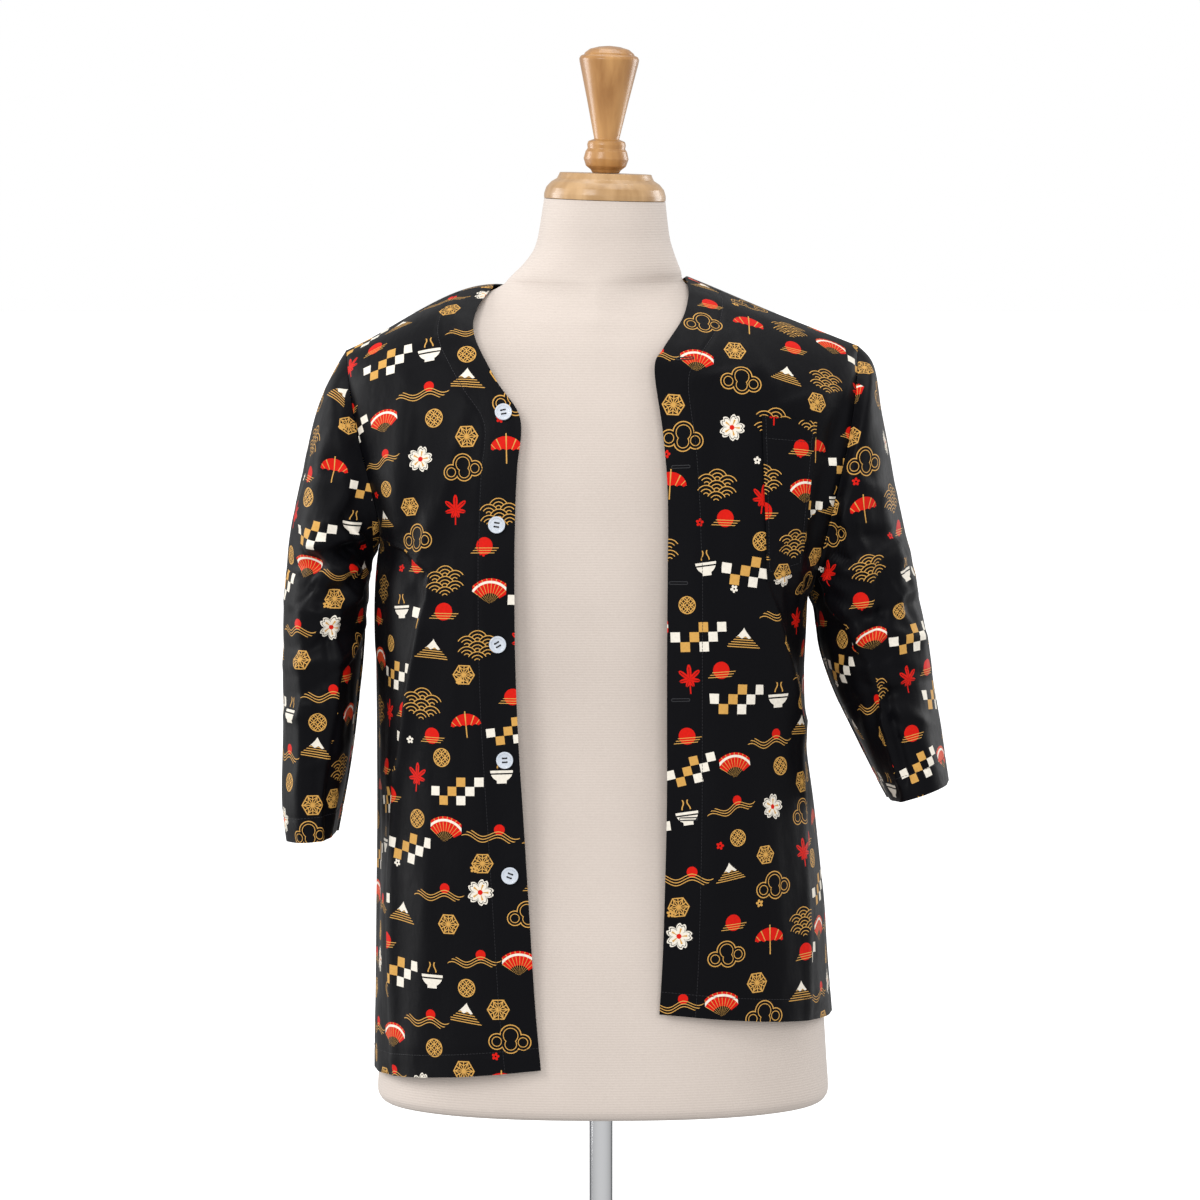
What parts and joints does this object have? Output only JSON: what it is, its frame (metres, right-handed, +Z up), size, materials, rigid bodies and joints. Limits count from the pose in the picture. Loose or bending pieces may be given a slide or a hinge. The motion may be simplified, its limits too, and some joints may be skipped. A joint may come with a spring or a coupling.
{
  "type": "japanese chef shirt on a dress form",
  "caption": "Black printed collarless chef shirt with cropped sleeves, worn open on a dress form with a wooden cap and a steel stand.",
  "frame": {"origin": "middle of the round foot's underside, on the floor", "axes": "+Z up, -Y the front of the shirt, +X the wearer's left"},
  "size_m": [0.6, 0.35, 1.6447],
  "materials": {
    "printed_cotton": "plain-woven black cotton with a gold, red and cream print",
    "shirt_button": "polished four-hole buttons",
    "form_jersey": "fine cream knit stretched over the form",
    "turned_wood": "turned and lacquered pale wood",
    "chromed_steel": "polished chrome plate"
  },
  "bodies": {
    "root": {"front_right": "printed_cotton", "front_left": "printed_cotton", "back": "printed_cotton", "sleeve_right": "printed_cotton", "sleeve_left": "printed_cotton", "pocket": "printed_cotton", "button_1": "shirt_button", "button_2": "shirt_button", "button_3": "shirt_button", "button_4": "shirt_button", "button_5": "shirt_button", "form_torso": "form_jersey", "neck_cap": "turned_wood", "finial": "turned_wood", "pole": "chromed_steel", "base": "chromed_steel"}
  },
  "joints": []
}
